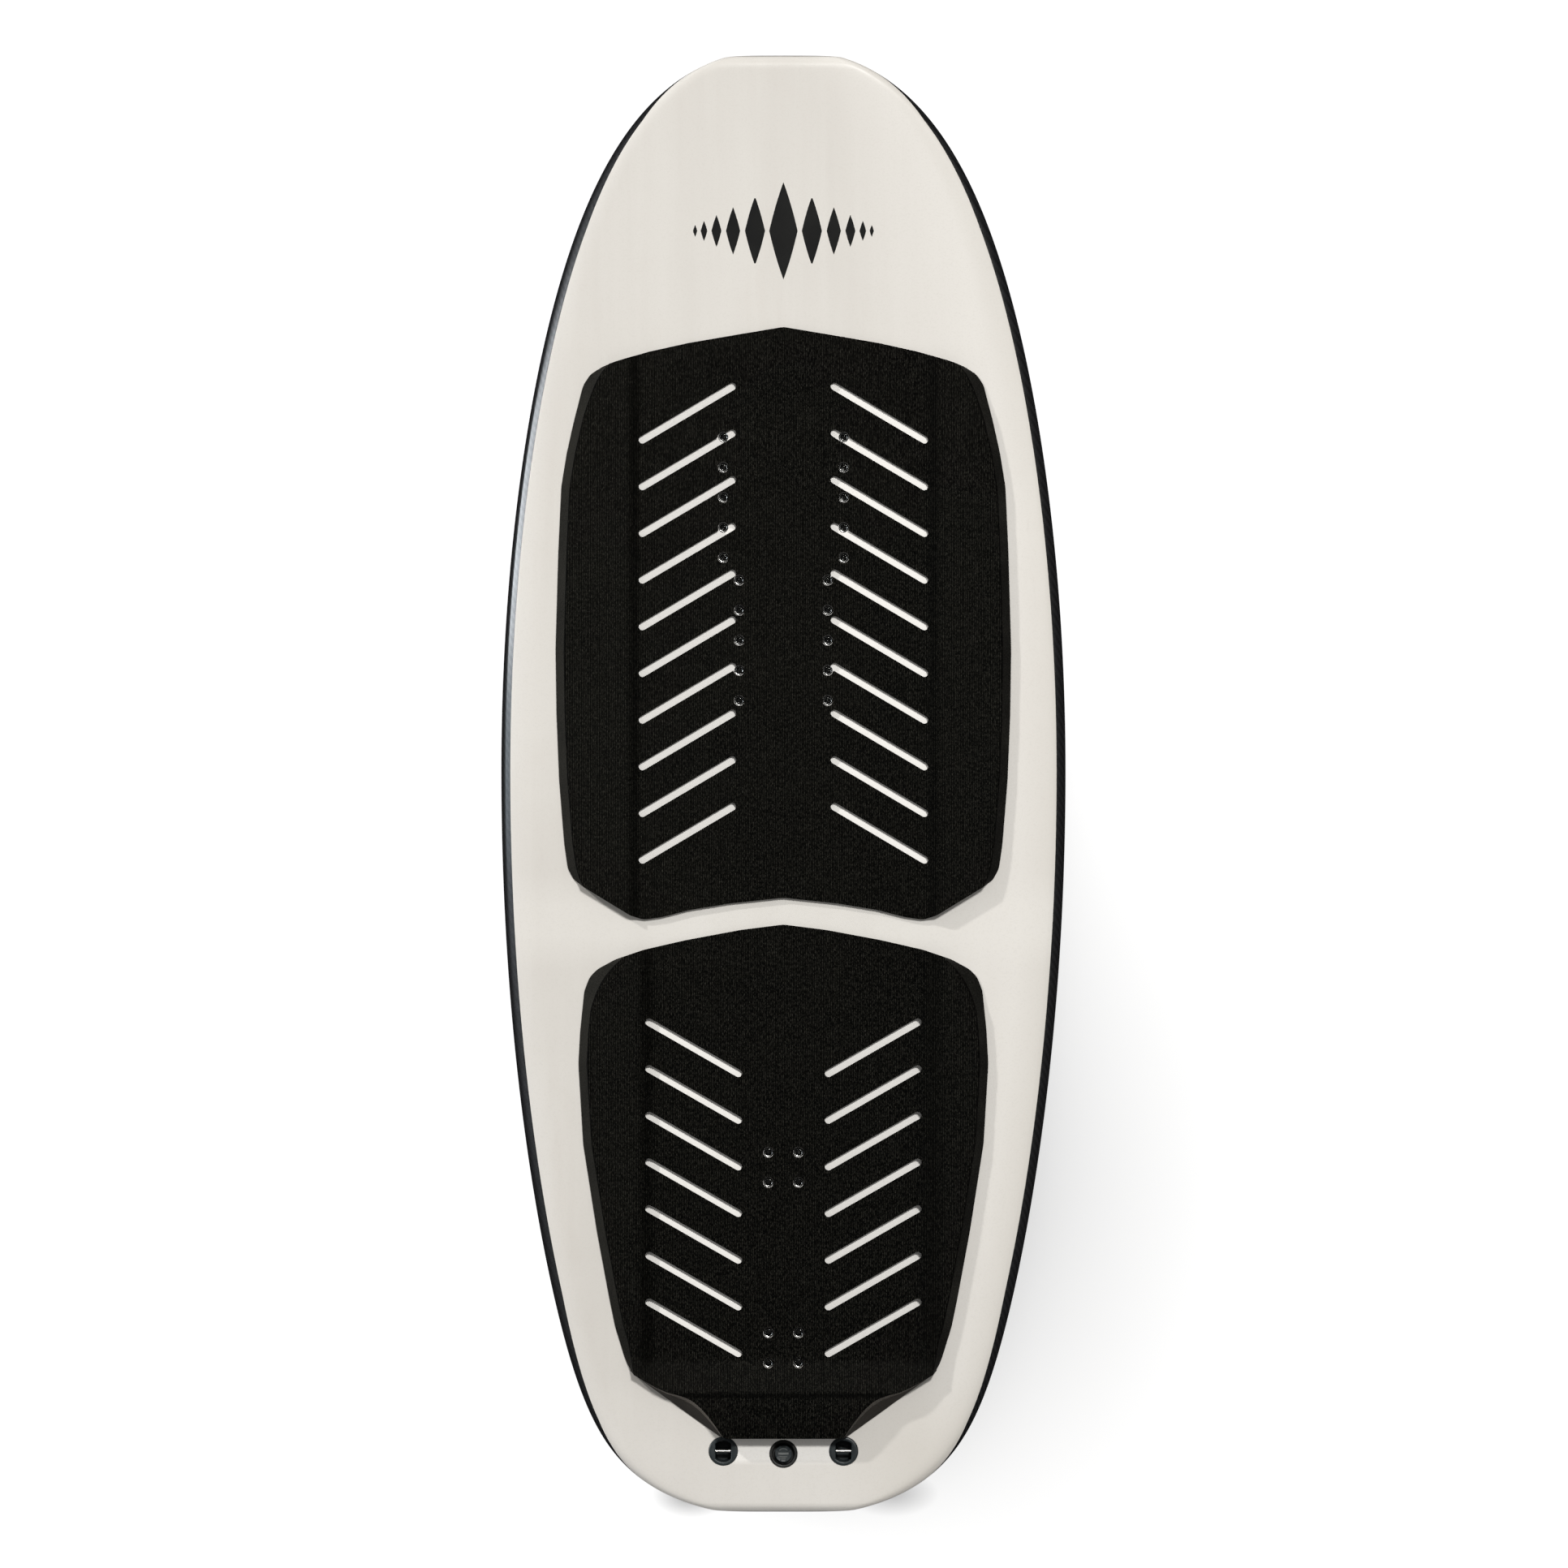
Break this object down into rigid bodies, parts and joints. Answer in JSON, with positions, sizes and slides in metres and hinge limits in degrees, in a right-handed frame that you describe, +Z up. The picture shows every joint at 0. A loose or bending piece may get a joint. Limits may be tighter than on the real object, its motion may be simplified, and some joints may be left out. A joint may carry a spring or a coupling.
{
  "type": "wakeboard",
  "caption": "Short thick foil-style wake board: white deck, carbon rails, grooved foam pads with raised wings and tail kick, strap inserts, leash plugs, vent, twin foil tracks.",
  "frame": {"origin": "centre of the board in plan, on the plane of the flat of the bottom", "axes": "+Y to the nose, +X to starboard, +Z up out of the deck"},
  "size_m": [0.4774, 1.23, 0.0844],
  "materials": {
    "deck_white": "satin white lacquer over the sandwich laminate",
    "carbon": "clear-coated twill carbon",
    "core_foam": "shaped bead foam",
    "block_foam": "high density foam",
    "grooved_eva": "fine lengthwise grooves",
    "plain_eva": "smooth cut foam",
    "track_plastic": "glass-filled nylon",
    "stainless": "brushed",
    "insert_metal": "machined",
    "cup_plastic": "gloss moulded",
    "vent_plastic": "moulded",
    "plug_plastic": "moulded, raised bars",
    "seal_rubber": "plain",
    "membrane": "felted film"
  },
  "bodies": {
    "board": {"deck_shell": "deck_white", "bottom_shell": "carbon", "foam_core": "core_foam", "mast_block": "block_foam", "insert_block_front_port": "block_foam", "insert_block_front_starboard": "block_foam", "insert_block_tail": "block_foam", "front_pad": "grooved_eva", "rear_pad": "grooved_eva", "kick_wedge": "plain_eva", "track_box_port": "track_plastic", "track_box_starboard": "track_plastic", "leash_cup_port": "cup_plastic", "leash_cup_starboard": "cup_plastic", "leash_pin_port": "stainless", "leash_pin_starboard": "stainless", "vent_housing": "vent_plastic", "strap_insert_front_port_outer_1": "insert_metal", "strap_insert_front_port_outer_2": "insert_metal", "strap_insert_front_port_outer_3": "insert_metal", "strap_insert_front_port_outer_4": "insert_metal", "strap_insert_front_port_outer_5": "insert_metal", "strap_insert_front_port_inner_1": "insert_metal", "strap_insert_front_port_inner_2": "insert_metal", "strap_insert_front_port_inner_3": "insert_metal", "strap_insert_front_port_inner_4": "insert_metal", "strap_insert_front_port_inner_5": "insert_metal", "strap_insert_front_starboard_outer_1": "insert_metal", "strap_insert_front_starboard_outer_2": "insert_metal", "strap_insert_front_starboard_outer_3": "insert_metal", "strap_insert_front_starboard_outer_4": "insert_metal", "strap_insert_front_starboard_outer_5": "insert_metal", "strap_insert_front_starboard_inner_1": "insert_metal", "strap_insert_front_starboard_inner_2": "insert_metal", "strap_insert_front_starboard_inner_3": "insert_metal", "strap_insert_front_starboard_inner_4": "insert_metal", "strap_insert_front_starboard_inner_5": "insert_metal", "strap_insert_rear_port_forward_1": "insert_metal", "strap_insert_rear_port_forward_2": "insert_metal", "strap_insert_rear_starboard_forward_1": "insert_metal", "strap_insert_rear_starboard_forward_2": "insert_metal", "strap_insert_rear_port_aft_1": "insert_metal", "strap_insert_rear_port_aft_2": "insert_metal", "strap_insert_rear_starboard_aft_1": "insert_metal", "strap_insert_rear_starboard_aft_2": "insert_metal"},
    "front_nut_port": {"track_nut_front_port": "stainless"},
    "front_nut_starboard": {"track_nut_front_starboard": "stainless"},
    "rear_nut_port": {"track_nut_rear_port": "stainless"},
    "rear_nut_starboard": {"track_nut_rear_starboard": "stainless"},
    "vent_seal": {"vent_oring": "seal_rubber"},
    "vent_screw": {"vent_plug": "plug_plastic", "vent_membrane": "membrane", "vent_retainer": "plug_plastic"}
  },
  "joints": [
    {"name": "front_nut_port_slide", "type": "slide", "parent": "board", "child": "front_nut_port", "axis": [0, 1, 0], "range_m": [-0.073, 0.028]},
    {"name": "front_nut_starboard_slide", "type": "slide", "parent": "board", "child": "front_nut_starboard", "axis": [0, 1, 0], "range_m": [-0.073, 0.028]},
    {"name": "rear_nut_port_slide", "type": "slide", "parent": "board", "child": "rear_nut_port", "axis": [0, 1, 0], "range_m": [-0.028, 0.073]},
    {"name": "rear_nut_starboard_slide", "type": "slide", "parent": "board", "child": "rear_nut_starboard", "axis": [0, 1, 0], "range_m": [-0.028, 0.073]},
    {"name": "vent_rise", "type": "slide", "parent": "board", "child": "vent_seal", "axis": [0, 0, 1], "range_m": [0, 0.00337]},
    {"name": "vent_turn", "type": "hinge", "parent": "vent_seal", "child": "vent_screw", "pos_m": [0, -0.5653, 0.062], "axis": [0, 0, 1], "range_deg": [0, 810]}
  ],
  "couplings": [
    {"joint": "vent_turn", "follows": "vent_rise", "rad_per_m": 4188.8}
  ]
}
